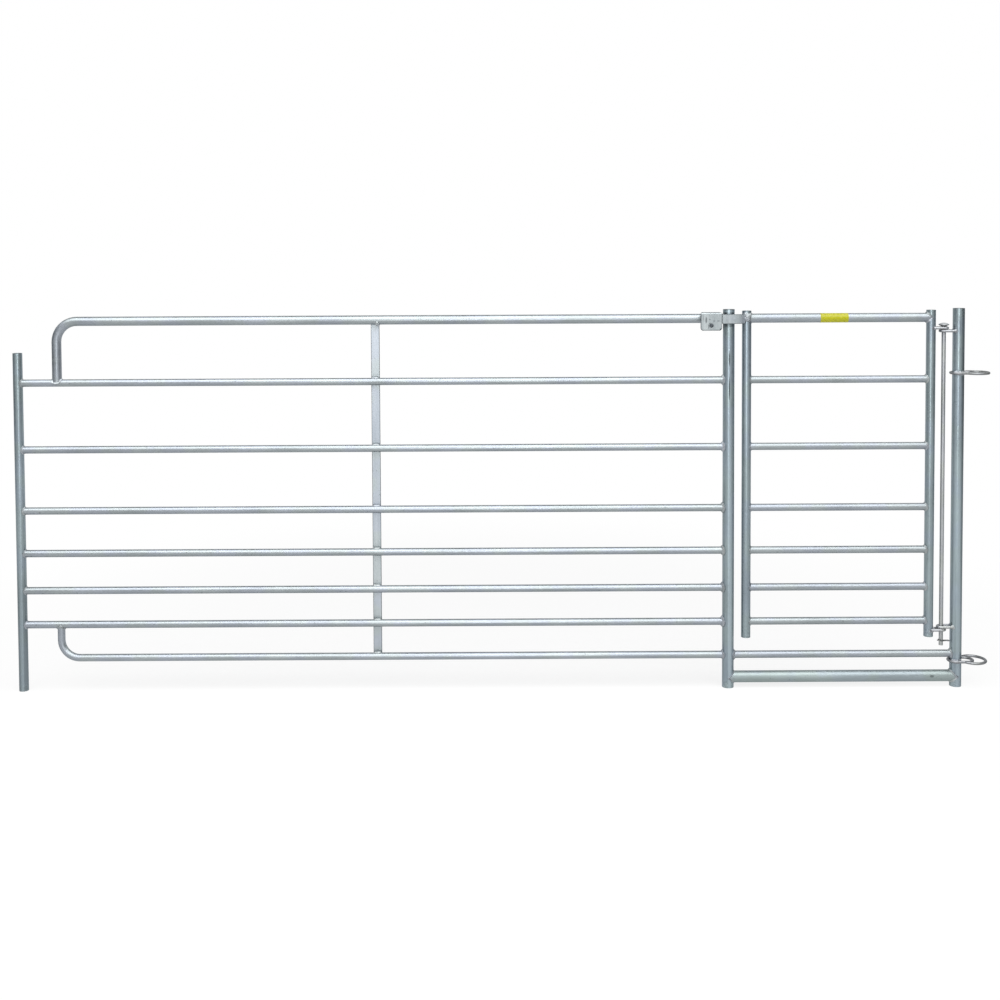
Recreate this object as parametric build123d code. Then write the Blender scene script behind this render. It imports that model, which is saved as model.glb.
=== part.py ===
from build123d import *
import os
from math import sqrt

# Galvanised sheep hurdle with a hinged gate. Sizes are in millimetres.
# The origin is at the foot of the middle post, on the ground.
# X runs along the hurdle towards the gate, Y away from the front, Z up.

# Driving sizes

# Tubes, as outside diameter and wall
post_diameter = 33.7
post_wall = 2.6
frame_tube_diameter = 26.9
frame_tube_wall = 2.3
rail_diameter = 21.3
rail_wall = 2.0

# Overall layout
panel_length = 2076.0
gate_opening = 671.5
post_above_top_rail = 26.5
left_post_above_rail = 88.0

# Heights of the tube centres over the ground
top_rail_height = 1088.0
panel_rail_heights = [908.0, 712.0, 532.0, 406.0, 296.0, 195.0]
bottom_rail_height = 96.0
sill_tube_height = 30.0

# Bent ends of the top and bottom rails
top_bend_radius = 60.0
top_leg_offset = 114.5
bottom_bend_radius = 54.0
bottom_leg_offset = 113.5

# Flat brace behind the panel rails
brace_position = 1033.0
brace_width = 25.0
brace_thickness = 5.0
brace_end_below_rail = 4.0

# Gate frame
stile_above_top_rail = 22.0
stile_below_last_rail = 47.0
latch_side_gap = 22.0
hinge_axis_to_post = 43.5
hinge_axis_to_stile = 37.5

# Hinge rod with a domed head, in eyes of round bar
rod_diameter = 12.0
rod_below_eye = 46.5
rod_head_diameter = 30.0
rod_head_cone_height = 4.5
rod_head_rim_height = 2.0
rod_head_dome_height = 4.5
eye_bar_diameter = 8.0
eye_weld_length = 9.0
eye_step = 8.6
eye_below_top_rail = 31.0
eye_below_last_rail = 19.0

# Spring clip through the foot of the rod
clip_above_rod_end = 14.0
clip_wire_diameter = 3.0
clip_tip_length = 11.0
clip_loop_length = 23.0
clip_loop_width = 9.0
clip_bend_radius = 3.0
clip_tip_rise = 6.0

# Coupling rings on the right post
ring_bar_diameter = 8.0
ring_above_first_rail = 17.5
ring_below_sill_rail = 20.0
ring_pocket_length = 29.0
ring_hoop_diameter = 72.0
ring_reach = 91.0

# Latch: a tongue on the gate and a folded saddle that slides on the top rail
tongue_height = 28.0
tongue_thickness = 5.0
tongue_tip_reach = 6.5
tongue_drop = 1.2
saddle_length = 62.0
saddle_height = 52.0
saddle_thickness = 4.0
saddle_fold_radius = 5.0
saddle_corner_radius = 8.0
bolt_diameter = 6.0
bolt_head_width = 10.0
bolt_head_height = 4.0
nut_height = 5.0
bolt_drop = 19.5
bolt_thread_beyond_nut = 3.0

# Label wrapped round the gate's top rail
label_length = 81.0
label_position = 306.0
label_thickness = 0.3
label_back_edge = 4.6

# Clearances
weld_gap = 0.2
pin_clearance = 0.4
slide_clearance = 0.3
tongue_side_clearance = 1.5
swing_clearance = 5.0
saddle_to_tongue_gap = 2.0
label_gap = 0.1

# Places that follow from the driving sizes
post_radius = post_diameter / 2
frame_tube_radius = frame_tube_diameter / 2
rail_radius = rail_diameter / 2
left_post_x = -panel_length
right_post_x = gate_opening
hinge_x = right_post_x - hinge_axis_to_post
hinge_stile_x = hinge_x - hinge_axis_to_stile
latch_stile_x = post_radius + latch_side_gap + frame_tube_radius
post_height = top_rail_height + post_above_top_rail
left_post_height = panel_rail_heights[0] + left_post_above_rail
gate_top_height = top_rail_height + stile_above_top_rail
gate_bottom_height = panel_rail_heights[-1] - stile_below_last_rail
gate_eye_top_height = top_rail_height - eye_below_top_rail
post_eye_top_height = gate_eye_top_height - eye_step
post_eye_bottom_height = panel_rail_heights[-1] - eye_below_last_rail
gate_eye_bottom_height = post_eye_bottom_height - eye_step
rod_bottom_height = gate_eye_bottom_height - rod_below_eye
clip_height = rod_bottom_height + clip_above_rod_end
ring_upper_height = panel_rail_heights[0] + ring_above_first_rail
ring_lower_height = bottom_rail_height - ring_below_sill_rail
tall_cutter = 2 * (post_height + gate_top_height)


def along_x(x_from, x_to, height):
    """Place a shape modelled along Z so that it runs along X."""
    return Pos((x_from + x_to) / 2, 0, height) * Rot(0, 90, 0)


def round_tube(length, diameter, wall):
    """Straight tube along Z, centred."""
    return Cylinder(diameter / 2, length) - Cylinder(diameter / 2 - wall, length)


def upright(x, bottom, top, diameter, wall):
    """Standing tube with open ends."""
    return Pos(x, 0, (bottom + top) / 2) * round_tube(top - bottom, diameter, wall)


def standing_cutter(x, diameter):
    """Solid round that shapes a tube end to the upright it is welded to."""
    return Pos(x, 0, 0) * Cylinder(diameter / 2 + weld_gap, tall_cutter)


def level_tube(x_from, x_to, height, diameter, wall, left_diameter, right_diameter):
    """Tube between two uprights, with both ends coped to them."""
    tube = along_x(x_from, x_to, height) * round_tube(x_to - x_from, diameter, wall)
    tube -= standing_cutter(x_from, left_diameter)
    tube -= standing_cutter(x_to, right_diameter)
    return tube


def bar_along(path, diameter):
    """Round bar that follows a path."""
    return sweep(Plane(origin=path @ 0, z_dir=path % 0) * Circle(diameter / 2), path=path)


def tube_along(path, diameter, wall):
    """Round tube that follows a path."""
    ring = Circle(diameter / 2) - Circle(diameter / 2 - wall)
    return sweep(Plane(origin=path @ 0, z_dir=path % 0) * ring, path=path)


def bent_rail(height, leg_x, leg_end, bend_radius, diameter, wall):
    """Rail from the middle post that turns to a vertical leg at its far end."""
    side = 1 if leg_end > height else -1
    corner_x = leg_x + bend_radius
    corner_z = height + side * bend_radius
    run = Line((0, 0, height), (corner_x, 0, height))
    bend_mid = (
        corner_x - bend_radius * sqrt(0.5),
        0,
        corner_z - side * bend_radius * sqrt(0.5),
    )
    bend = ThreePointArc((corner_x, 0, height), bend_mid, (leg_x, 0, corner_z))
    leg = Line((leg_x, 0, corner_z), (leg_x, 0, leg_end))
    rail = tube_along(run + bend + leg, diameter, wall)
    return rail - standing_cutter(0, post_diameter)


def hinge_eye(carrier_x, carrier_diameter, height):
    """Bar bent round the hinge rod, with both legs welded to a stile or post."""
    side = 1 if hinge_x > carrier_x else -1
    turn = rod_diameter / 2 + pin_clearance + eye_bar_diameter / 2
    start_x = carrier_x + side * (carrier_diameter / 2 - eye_weld_length)
    back_leg = Line((start_x, turn, height), (hinge_x, turn, height))
    loop = ThreePointArc(
        (hinge_x, turn, height), (hinge_x + side * turn, 0, height), (hinge_x, -turn, height)
    )
    front_leg = Line((hinge_x, -turn, height), (start_x, -turn, height))
    eye = bar_along(back_leg + loop + front_leg, eye_bar_diameter)
    return eye - standing_cutter(carrier_x, carrier_diameter)


def coupling_ring(height):
    """Link that hugs the right post, with a wider hoop welded to its sides."""
    bar_radius = ring_bar_diameter / 2
    turn = post_radius + weld_gap + bar_radius
    far_turn_x = right_post_x + post_radius + ring_pocket_length + bar_radius - turn
    back = Line((right_post_x, turn, height), (far_turn_x, turn, height))
    far_turn = ThreePointArc(
        (far_turn_x, turn, height), (far_turn_x + turn, 0, height), (far_turn_x, -turn, height)
    )
    front = Line((far_turn_x, -turn, height), (right_post_x, -turn, height))
    near_turn = ThreePointArc(
        (right_post_x, -turn, height), (right_post_x - turn, 0, height), (right_post_x, turn, height)
    )
    link = bar_along(back + far_turn, ring_bar_diameter)
    link += bar_along(front + near_turn, ring_bar_diameter)
    hoop_radius = ring_hoop_diameter / 2
    hoop_x = right_post_x + ring_reach - bar_radius - hoop_radius
    hoop_start_x = hoop_x - sqrt(hoop_radius**2 - turn**2)
    hoop_path = ThreePointArc(
        (hoop_start_x, turn, height), (hoop_x + hoop_radius, 0, height), (hoop_start_x, -turn, height)
    )
    return link + bar_along(hoop_path, ring_bar_diameter)


def hinge_rod():
    """Plain rod with a cone and dome head, drilled across for the clip."""
    head_bottom = gate_eye_top_height + eye_bar_diameter / 2 + slide_clearance
    rim_bottom = head_bottom + rod_head_cone_height
    rim_top = rim_bottom + rod_head_rim_height
    head_top = rim_top + rod_head_dome_height
    head_radius = rod_head_diameter / 2
    dome_radius = (head_radius**2 + rod_head_dome_height**2) / (2 * rod_head_dome_height)
    dome_centre = head_top - dome_radius
    half_reach = head_radius / 2
    dome_mid = (half_reach, dome_centre + sqrt(dome_radius**2 - half_reach**2))
    outline = Polyline(
        (0, head_top),
        (0, rod_bottom_height),
        (rod_diameter / 2, rod_bottom_height),
        (rod_diameter / 2, head_bottom),
        (head_radius, rim_bottom),
        (head_radius, rim_top),
    )
    outline += ThreePointArc((head_radius, rim_top), dome_mid, (0, head_top))
    rod = revolve(Plane.XZ * make_face(outline), Axis.Z)
    hole_radius = clip_wire_diameter / 2 + slide_clearance
    hole = Pos(0, 0, clip_height) * Rot(0, 90, 0) * Cylinder(hole_radius, rod_head_diameter)
    return Pos(hinge_x, 0, 0) * (rod - hole)


def hinge_clip():
    """Spring wire: one leg through the rod, the other sprung round its front."""
    front = -(rod_diameter / 2 + clip_wire_diameter / 2 + slide_clearance)
    loop_x = hinge_x + clip_loop_length
    route = FilletPolyline(
        (hinge_x - clip_tip_length, 0, clip_height),
        (loop_x, 0, clip_height),
        (loop_x, -clip_loop_width, clip_height),
        (hinge_x + rod_diameter / 2 + clip_loop_width, front / 2, clip_height),
        (hinge_x, front, clip_height),
        (hinge_x - clip_tip_length, front, clip_height + clip_tip_rise),
        radius=clip_bend_radius,
    )
    return bar_along(route, clip_wire_diameter)


def brace_strap():
    """Flat bar behind the rails, from under the top rail to the bottom rail."""
    front = rail_radius + weld_gap
    top_rail_reach = frame_tube_radius + weld_gap
    top = top_rail_height - sqrt(top_rail_reach**2 - front**2)
    bottom = bottom_rail_height - brace_end_below_rail
    strap = Box(brace_width, brace_thickness, top - bottom)
    return Pos(-brace_position, front + brace_thickness / 2, (top + bottom) / 2) * strap


def top_rail():
    """Top rail, bent down at its left end and coped over the rail below."""
    leg_x = left_post_x + top_leg_offset
    lower = panel_rail_heights[0]
    rail = bent_rail(
        top_rail_height, leg_x, lower, top_bend_radius, frame_tube_diameter, frame_tube_wall
    )
    return rail - rail_cutter(leg_x, lower)


def bottom_rail():
    """Bottom rail, bent up at its left end and coped under the rail above."""
    leg_x = left_post_x + bottom_leg_offset
    upper = panel_rail_heights[-1]
    rail = bent_rail(bottom_rail_height, leg_x, upper, bottom_bend_radius, rail_diameter, rail_wall)
    return rail - rail_cutter(leg_x, upper)


def rail_cutter(x, height):
    """Solid round that shapes a leg's end to the rail it is welded to."""
    length = 2 * frame_tube_diameter
    return Pos(x, 0, height) * Rot(0, 90, 0) * Cylinder(rail_radius + weld_gap, length)


def panel_rail(height):
    """Rail from the left post to the middle post."""
    return level_tube(
        left_post_x, 0, height, rail_diameter, rail_wall, frame_tube_diameter, post_diameter
    )


def gate_rail(height, diameter, wall):
    """Rail between the two stiles of the gate."""
    return level_tube(
        latch_stile_x, hinge_stile_x, height, diameter, wall, frame_tube_diameter, frame_tube_diameter
    )


def sill(height, diameter, wall):
    """Tube between the middle and right posts, under the gate."""
    return level_tube(0, right_post_x, height, diameter, wall, post_diameter, post_diameter)


# The latch: the tongue passes in front of the middle post
tongue_back = -(post_radius + swing_clearance)
tongue_front = tongue_back - tongue_thickness
tongue_tip_x = -(post_radius + tongue_tip_reach)
saddle_right_x = tongue_tip_x - saddle_to_tongue_gap
saddle_x = saddle_right_x - saddle_length / 2
saddle_front = tongue_front - tongue_side_clearance - saddle_thickness
saddle_back = frame_tube_radius + tongue_side_clearance + saddle_thickness
saddle_top = top_rail_height + frame_tube_radius + slide_clearance + saddle_thickness
saddle_mid_y = (saddle_front + saddle_back) / 2
bolt_height = top_rail_height - bolt_drop


def latch_tongue():
    """Flat bar, set in at its right end and welded to the latch stile."""
    stile_front = -(frame_tube_radius + weld_gap)
    set_start_x = post_radius + swing_clearance
    set_end_x = latch_stile_x - frame_tube_radius / 2
    end_x = latch_stile_x + frame_tube_radius
    outline = Polyline(
        (tongue_tip_x, tongue_back),
        (set_start_x, tongue_back),
        (set_end_x, stile_front),
        (end_x, stile_front),
        (end_x, stile_front - tongue_thickness),
        (set_end_x, stile_front - tongue_thickness),
        (set_start_x, tongue_front),
        (tongue_tip_x, tongue_front),
        close=True,
    )
    bottom = top_rail_height - tongue_drop - tongue_height / 2
    return Pos(0, 0, bottom) * extrude(make_face(outline), tongue_height)


def latch_saddle():
    """Plate folded over the top rail, open below, with rounded lower corners."""
    depth = saddle_back - saddle_front
    inner_depth = depth - 2 * saddle_thickness
    inner_height = saddle_height - saddle_thickness
    outer = RectangleRounded(depth, 2 * saddle_height, saddle_fold_radius)
    inner = Rectangle(inner_depth, 2 * inner_height)
    shell = extrude(Plane.YZ * (outer - inner), saddle_length / 2, both=True)
    face = Pos(0, -saddle_height) * RectangleRounded(
        saddle_length, 2 * saddle_height + saddle_height, saddle_corner_radius
    )
    lower_half = Pos(0, 0, -saddle_height) * Box(2 * saddle_length, 2 * depth, 2 * saddle_height)
    corner_shape = Pos(0, 0, saddle_height) * extrude(Plane.XZ * face, depth, both=True)
    saddle = (shell - lower_half) & corner_shape
    saddle = Pos(saddle_x, saddle_mid_y, saddle_top - saddle_height) * saddle
    return saddle - bolt_hole()


def bolt_hole():
    """Clearance hole for the latch bolt, through both sides of the saddle."""
    radius = bolt_diameter / 2 + slide_clearance
    length = 2 * (saddle_back - saddle_front)
    return Pos(saddle_x, saddle_mid_y, bolt_height) * Rot(90, 0, 0) * Cylinder(radius, length)


def hexagon(thickness):
    """Six-sided plate lying across Y."""
    plate = RegularPolygon(bolt_head_width / 2, 6, major_radius=False)
    return extrude(Plane.XZ * plate, thickness)


def latch_bolt():
    """Hexagon bolt that keeps the saddle on the rail."""
    shank_length = saddle_back - saddle_front + nut_height + bolt_thread_beyond_nut
    shank = Rot(90, 0, 0) * Cylinder(bolt_diameter / 2, shank_length)
    shank = Pos(0, saddle_front + shank_length / 2, 0) * shank
    head = Pos(0, saddle_front, 0) * hexagon(bolt_head_height)
    return Pos(saddle_x, 0, bolt_height) * (shank + head)


def latch_nut():
    """Nut on the back of the saddle."""
    nut = Pos(0, saddle_back + nut_height, 0) * hexagon(nut_height)
    bore = Rot(90, 0, 0) * Cylinder(bolt_diameter / 2 + weld_gap, tall_cutter)
    return Pos(saddle_x, 0, bolt_height) * (nut - bore)


def label():
    """Thin label wrapped round the front of the gate's top rail."""
    inner = frame_tube_radius + label_gap
    outer = inner + label_thickness
    skin = Rot(0, 90, 0) * (Cylinder(outer, label_length) - Cylinder(inner, label_length))
    back = Pos(0, label_back_edge + outer, 0) * Box(2 * label_length, 2 * outer, 4 * outer)
    return Pos(label_position, 0, top_rail_height) * (skin - back)


parts = {
    "left_post": upright(left_post_x, 0, left_post_height, frame_tube_diameter, frame_tube_wall),
    "middle_post": upright(0, 0, post_height, post_diameter, post_wall),
    "right_post": upright(right_post_x, 0, post_height, post_diameter, post_wall),
    "top_rail": top_rail(),
    "bottom_rail": bottom_rail(),
    "brace_strap": brace_strap(),
    "sill_rail": sill(bottom_rail_height, rail_diameter, rail_wall),
    "sill_tube": sill(sill_tube_height, post_diameter, post_wall),
    "ring_upper": coupling_ring(ring_upper_height),
    "ring_lower": coupling_ring(ring_lower_height),
    "hinge_rod": hinge_rod(),
    "hinge_clip": hinge_clip(),
    "post_eye_top": hinge_eye(right_post_x, post_diameter, post_eye_top_height),
    "post_eye_bottom": hinge_eye(right_post_x, post_diameter, post_eye_bottom_height),
    "gate_latch_stile": upright(
        latch_stile_x, gate_bottom_height, gate_top_height, frame_tube_diameter, frame_tube_wall
    ),
    "gate_hinge_stile": upright(
        hinge_stile_x, gate_bottom_height, gate_top_height, frame_tube_diameter, frame_tube_wall
    ),
    "gate_top_rail": gate_rail(top_rail_height, frame_tube_diameter, frame_tube_wall),
    "gate_eye_top": hinge_eye(hinge_stile_x, frame_tube_diameter, gate_eye_top_height),
    "gate_eye_bottom": hinge_eye(hinge_stile_x, frame_tube_diameter, gate_eye_bottom_height),
    "latch_tongue": latch_tongue(),
    "label": label(),
    "latch_saddle": latch_saddle(),
    "latch_bolt": latch_bolt(),
    "latch_nut": latch_nut(),
}
for number, rail_height in enumerate(panel_rail_heights, start=1):
    parts[f"panel_rail_{number}"] = panel_rail(rail_height)
    parts[f"gate_rail_{number}"] = gate_rail(rail_height, rail_diameter, rail_wall)

os.makedirs("parts", exist_ok=True)
for node, shape in parts.items():
    export_step(shape, f"parts/{node}.step")
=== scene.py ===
"""Finish, welds, latch and studio for a galvanised sheep hurdle with a gate.

Lengths are in metres. X runs along the hurdle, Y to its back and Z up.
"""

from math import atan2, copysign, cos, pi, radians, sin, sqrt, tau

import bmesh
import bpy
from bpy.props import FloatProperty, FloatVectorProperty, PointerProperty
from mathutils import Euler, Matrix, Vector, noise


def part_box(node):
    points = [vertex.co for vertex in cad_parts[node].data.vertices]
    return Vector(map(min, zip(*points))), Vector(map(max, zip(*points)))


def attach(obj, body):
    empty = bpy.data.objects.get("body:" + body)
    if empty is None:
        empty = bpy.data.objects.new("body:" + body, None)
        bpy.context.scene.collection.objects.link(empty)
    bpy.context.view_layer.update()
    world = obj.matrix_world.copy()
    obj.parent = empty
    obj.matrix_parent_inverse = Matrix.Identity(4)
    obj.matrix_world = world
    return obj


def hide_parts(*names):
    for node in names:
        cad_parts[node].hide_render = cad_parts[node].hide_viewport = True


bl_info = {
    "name": "Hurdle with gate",
    "version": (1, 0, 0),
    "blender": (4, 5, 0),
    "location": "3D View > Sidebar > Hurdle",
    "description": "Dresses a galvanised tube hurdle and its gate",
    "category": "Object",
}

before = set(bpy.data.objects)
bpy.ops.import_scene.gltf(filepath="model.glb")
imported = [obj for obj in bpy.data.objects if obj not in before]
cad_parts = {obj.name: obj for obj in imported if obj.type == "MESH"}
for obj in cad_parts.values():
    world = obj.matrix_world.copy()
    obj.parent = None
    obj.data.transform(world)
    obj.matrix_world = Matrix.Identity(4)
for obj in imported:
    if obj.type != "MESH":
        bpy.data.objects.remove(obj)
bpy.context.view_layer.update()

POSTS = ["left_post", "middle_post", "right_post"]
STILES = ["gate_latch_stile", "gate_hinge_stile"]
PANEL_RAILS = sorted(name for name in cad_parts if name.startswith("panel_rail"))
GATE_RAILS = sorted(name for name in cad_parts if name.startswith("gate_rail"))
PANEL_TUBES = [*PANEL_RAILS, "top_rail", "bottom_rail"]
GATE_TUBES = [*GATE_RAILS, "gate_top_rail", "sill_rail"]
RINGS = ["ring_upper", "ring_lower"]
GATE_EYES = ["gate_eye_top", "gate_eye_bottom"]
POST_EYES = ["post_eye_top", "post_eye_bottom"]
WHITE = (1.0, 1.0, 1.0)
X_AXIS = Vector((1, 0, 0))
Z_AXIS = Vector((0, 0, 1))
MERGE = 1e-6  # points nearer than this are one point
SOFT_EDGE = radians(50)  # edges of a plate that turn less than this are shaded as round
FACET_EDGE = radians(25)  # the same for the bolt and nut
SHARP = radians(60)  # edges that turn more than this are rounded off
ROUND_EDGES = {"offset_type": "OFFSET", "profile": 0.5, "affect": "EDGES", "material": -1}

# Spots on the zinc, some of them marks and some painted shade and painted highlights:
# middle, three half axes, cover and shade against the dull zinc
POST_MARKS_AND_PAINTED_LIGHT = [
    # Dark streaks down the front of the middle post
    ((-0.0006, -0.0165, 0.97), (0.0022, 0.01, 0.028), 0.95, 0.2),
    ((-0.0006, -0.0165, 0.884), (0.0022, 0.01, 0.046), 0.95, 0.2),
    # Painted shade on the middle post just above the tongue
    ((-0.0113, -0.014, 1.1035), (0.0055, 0.012, 0.0032), 0.8, 0.25),
    ((0.01, -0.014, 1.1035), (0.0065, 0.012, 0.0032), 0.75, 0.3),
    # Painted highlight: a lighter band round the top of the middle post
    ((0.0, -0.012, 1.109), (0.022, 0.014, 0.0042), 0.65, 2.0),
    # A dark ring at the top end of the middle post
    ((0.0, 0.0, 1.116), (0.06, 0.06, 0.0026), 0.75, 0.3),
    # Painted shadow of the tongue on the middle post below it
    ((0.0, -0.014, 1.068), (0.026, 0.014, 0.0065), 0.55, 0.4),
    # A dark ring at the top end of the right post
    ((0.6715, 0.0, 1.116), (0.06, 0.06, 0.003), 0.6, 0.3),
    # Painted shade down the right side of the right post
    ((0.686, -0.008, 0.6), (0.012, 0.022, 0.9), 0.6, 0.55),
    # Painted highlights: light stripes down the fronts of the right and middle posts
    ((0.6585, -0.012, 0.6), (0.008, 0.01, 0.9), 0.35, 1.9),
    ((0.002, -0.0168, 0.3), (0.007, 0.01, 0.62), 0.55, 2.0),
    ((0.672, -0.0168, 0.25), (0.007, 0.01, 0.55), 0.45, 1.9),
    # Painted shade on the lower part of the left post
    ((-2.076, -0.01, 0.12), (0.03, 0.03, 0.3), 0.5, 0.5),
    # Painted highlight: a light stripe down the front of the left post
    ((-2.075, -0.0134, 0.2), (0.006, 0.008, 0.45), 0.45, 1.7),
]
RAIL_SPOTS = [((-1.9615, 0.0, 0.975), (0.03, 0.03, 0.11), 0.3, 0.55)]
SILL_SPOTS = [((0.597, -0.0165, 0.033), (0.008, 0.01, 0.005), 0.7, 0.35)]
LATCH_MARKS_AND_PAINTED_SHADOW = [
    # Dark marks on the saddle plate
    ((-0.0713, -0.03, 1.0846), (0.0034, 0.02, 0.012), 0.75, 0.35),
    ((-0.0645, -0.03, 1.0661), (0.0028, 0.02, 0.0095), 0.6, 0.45),
    ((-0.0798, -0.03, 1.0905), (0.002, 0.02, 0.012), 0.5, 0.5),
    ((-0.0613, -0.03, 1.0861), (0.0034, 0.02, 0.0028), 0.6, 0.45),
    ((-0.0487, -0.03, 1.0817), (0.004, 0.02, 0.0028), 0.55, 0.45),
    ((-0.0358, -0.03, 1.0817), (0.0052, 0.02, 0.0028), 0.55, 0.45),
    ((-0.0294, -0.03, 1.0577), (0.0032, 0.02, 0.0042), 0.8, 0.3),
    # Painted shadow round the bolt head and at its top
    ((-0.056, -0.03, 1.069), (0.009, 0.02, 0.008), 0.65, 0.35),
    ((-0.0605, -0.03, 1.0745), (0.0035, 0.02, 0.0035), 0.6, 0.35),
]
# Painted highlight: the hinge rod's head made much lighter than its zinc
ROD_HEAD_PAINTED_HIGHLIGHT = [((0.628, 0.0, 1.073), (0.026, 0.026, 0.012), 0.9, 2.6)]

# What each zinc is like. Kind names its two colours in ZincFinish, and tone scales them.
FOOT_CRUST = 0.02
STILE_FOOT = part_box("gate_latch_stile")[0].z + FOOT_CRUST
FINISHES = {
    "post": dict(kind="post", rougher=-0.05, foot=FOOT_CRUST, spots=POST_MARKS_AND_PAINTED_LIGHT),
    "stile": dict(kind="post", rougher=-0.05, foot=STILE_FOOT),
    "rail": dict(kind="rail", run=0, spots=RAIL_SPOTS),
    "gate": dict(kind="rail", tone=0.98, run=0, rougher=0.05),
    "sill": dict(kind="sill", run=0, rougher=0.11, spots=SILL_SPOTS),
    "bar": dict(kind="bar", contrast=0.8, rougher=0.03),
    "rod": dict(kind="bar", tone=1.5, rougher=0.03, spots=ROD_HEAD_PAINTED_HIGHLIGHT),
    "clip": dict(kind="bar", tone=0.6),
    "weld": dict(kind="weld", contrast=1.3, rougher=0.12),
    "fillet": dict(kind="weld", tone=1.05, rougher=0.14),
    "strap": dict(kind="plate", rougher=0.06),
    "tongue": dict(kind="plate", tone=0.86, contrast=1.2, rougher=0.06),
    "latch": dict(kind="plate", tone=0.78, contrast=1.7, rougher=0.04, spots=LATCH_MARKS_AND_PAINTED_SHADOW),
}

# Noises in the zinc: lumps to the metre, and how far each shows in shade, gloss and relief
GRAIN = {"runs": 70, "clouds": 5.5, "pores": 420, "pits": 150, "streaks": 260}
CRUST_GRAIN = 300
HUE_GRAIN = 14
IN_SHADE = {"crystals": 0.06, "runs": 0.80, "clouds": 0.80, "crust": 3.0}
IN_GLOSS = {"crystals": 0.07, "runs": 0.10, "clouds": 0.16}
IN_RELIEF = {"crystals": 0.10, "runs": 0.45, "pores": 0.14, "crust": 6.0}
RELIEF_DEPTH = 0.00014
RUN_STRETCH = 0.06
PIT_COVER = 0.55
STREAK_COVER = 0.40
# Dark zinc of pits and streaks, also the painted shade on edges
STAIN_AND_EDGE_SHADE = 0.30

# Share of the weld's size that each kind of joint gets
LEFT_POST_BEAD = 0.8
MIDDLE_POST_BEAD = 1.5
STILE_BEAD = 0.9
SILL_BEADS = {"sill_rail": 1.3, "sill_tube": 1.0}
TOP_RAIL_BEAD = 0.35  # small, so that the saddle slides clear of it
LEG_BEAD = 1.0

# A strap weld above a rail and below it: how far behind the strap, and how thick.
STRAP_WELD_ABOVE = (1.2, 1.0)
STRAP_WELD_BELOW = (0.3, 0.5)
STRAP_WELD_SINK = 0.45

# Painted shade on the saddle's outline, folds and right end, and how wide that end is.
OUTLINE_SHADE = 0.6
FOLD_SHADE = 0.3
END_SHADE = 0.15
END_BAND = 0.0036

TONGUE_END = 0.72  # where the tongue ends inside the stile, as a share of its radius
THREAD_DEPTH = 0.55  # as a share of the pitch

# Each lamp: its setting, place, turn and size. Each panel: its place, turn and half size.
LAMPS = {
    "overhead_softbox": ("overhead", (-0.7, -2.4, 3.4), (0, 0, 0), (7.0, 4.8)),
    "front_strip": ("front", (-0.67, -4.6, 1.5), (pi / 2, 0, 0), (0.58, 3.0)),
}
PANELS = {
    "flag_left": ((-6.2, -1.0, 1.6), (0, pi / 2, 0), (1.6, 4.0)),
    "flag_right": ((4.8, -1.0, 1.6), (0, pi / 2, 0), (1.6, 4.0)),
    "ceiling": ((-0.7, 1.9, 3.5), (0, 0, 0), (4.0, 1.8)),
}
LAMP_WATTS = 4  # to each square metre of lamp, at a brightness of 1
FLOOR_MIDDLE = (-0.7, 0, 0)
FLOOR_FADE = (0.6, 2.6)  # where the floor starts to turn white, and where it is white
FLOOR_REACH = 25

# Ripples and lumps of a bead: their share of its section, and lumps to the metre
RIPPLE_DEPTH = 0.10
COARSE_LUMPS, COARSE_SHARE = 160, 1.1
FINE_LUMPS, FINE_SHARE = 420, 0.5


def length(name, description, default):
    """A length that a user may change."""
    kind = {"min": 0, "precision": 4, "unit": "LENGTH", "subtype": "DISTANCE"}
    return FloatProperty(name=name, description=description, default=default, **kind)


def share(name, description, default):
    """A share from 0 to 1 that a user may change."""
    kind = {"min": 0, "max": 1, "subtype": "FACTOR"}
    return FloatProperty(name=name, description=description, default=default, **kind)


def rotation(name, description, degrees):
    """An angle that a user may change."""
    kind = {"default": radians(degrees), "unit": "ROTATION"}
    return FloatProperty(name=name, description=description, **kind)


def glow(name, description, default):
    """The brightness of a lamp that a user may change."""
    return FloatProperty(name=name, description=description, default=default, min=0)


def colour(name, description, default):
    """A colour that a user may change."""
    kind = {"size": 3, "min": 0, "max": 1, "subtype": "COLOR"}
    return FloatVectorProperty(name=name, description=description, default=default, **kind)


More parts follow.
